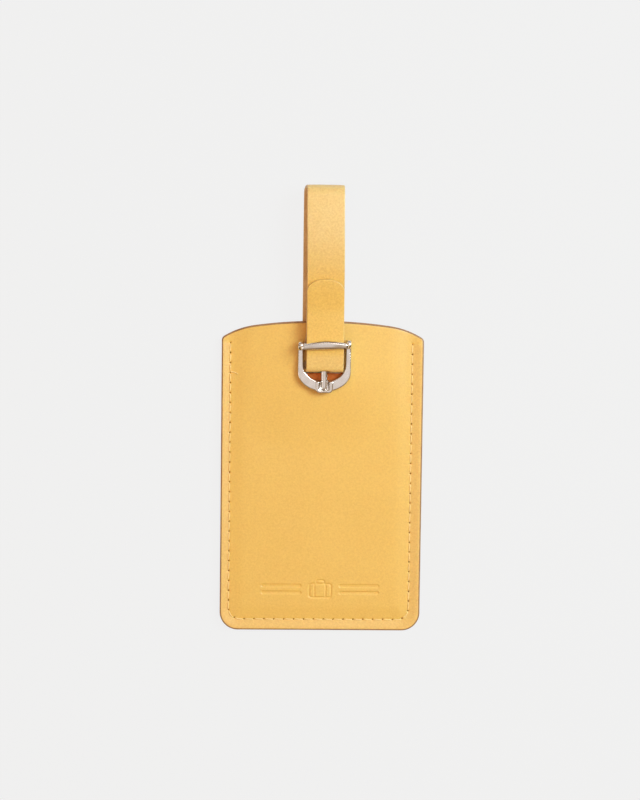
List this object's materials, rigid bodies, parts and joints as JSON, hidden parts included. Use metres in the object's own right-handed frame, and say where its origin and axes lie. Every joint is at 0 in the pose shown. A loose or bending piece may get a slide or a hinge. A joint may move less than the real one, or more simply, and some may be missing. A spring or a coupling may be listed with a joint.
{
  "type": "luggage tag",
  "caption": "Leather luggage tag with an open-topped card pocket, a clear back window and a short buckled strap that loops round a bag handle.",
  "frame": {"origin": "on the surface the tag lies on, below the middle of the whole object's length and width", "axes": "+Z out of the tag's face, +Y from the pocket towards the strap's top fold, +X to the right seen from the front"},
  "size_m": [0.072, 0.1596, 0.0122],
  "materials": {
    "tag_leather": "smooth full-grain leather, soft sheen, honey yellow",
    "back_leather": "smooth full-grain leather, honey yellow",
    "strap_leather": "smooth full-grain leather, honey yellow, tan underside",
    "lining": "matt russet lining cloth",
    "thread": "waxed yellow thread",
    "polished_metal": "polished nickel plating",
    "clear_film": "clear flexible film",
    "card": "matt card, ruled with plain lines"
  },
  "bodies": {
    "tag": {"back_panel": "back_leather", "window_film": "clear_film", "front_lining": "lining", "front_panel": "tag_leather", "seam_stitches": "thread", "window_stitches": "thread"},
    "card": {"address_card": "card"},
    "strap": {"strap": "strap_leather", "tail_stitches": "thread"},
    "strap_tip": {"strap_tip": "strap_leather"},
    "buckle": {"buckle_frame": "polished_metal", "pivot_pin": "polished_metal"},
    "tang": {"tang": "polished_metal"}
  },
  "joints": [
    {"name": "card_slide", "type": "slide", "parent": "tag", "child": "card", "axis": [0, 1, 0], "range_m": [0, 0.098]},
    {"name": "strap_slip", "type": "slide", "parent": "tag", "child": "strap", "axis": [0, 1, 0], "range_m": [-0.0008, 0.0003]},
    {"name": "tip_lift", "type": "hinge", "parent": "strap", "child": "strap_tip", "pos_m": [0, 0.0254, 0.0099], "axis": [1, 0, 0], "range_deg": [0, 60]},
    {"name": "buckle_swing", "type": "hinge", "parent": "strap", "child": "buckle", "pos_m": [0, 0.02335, 0.00675], "axis": [-1, 0, 0], "range_deg": [0, 2]},
    {"name": "tang_pivot", "type": "hinge", "parent": "buckle", "child": "tang", "pos_m": [0, 0.02335, 0.00675], "axis": [-1, 0, 0], "range_deg": [0, 1.5]}
  ]
}
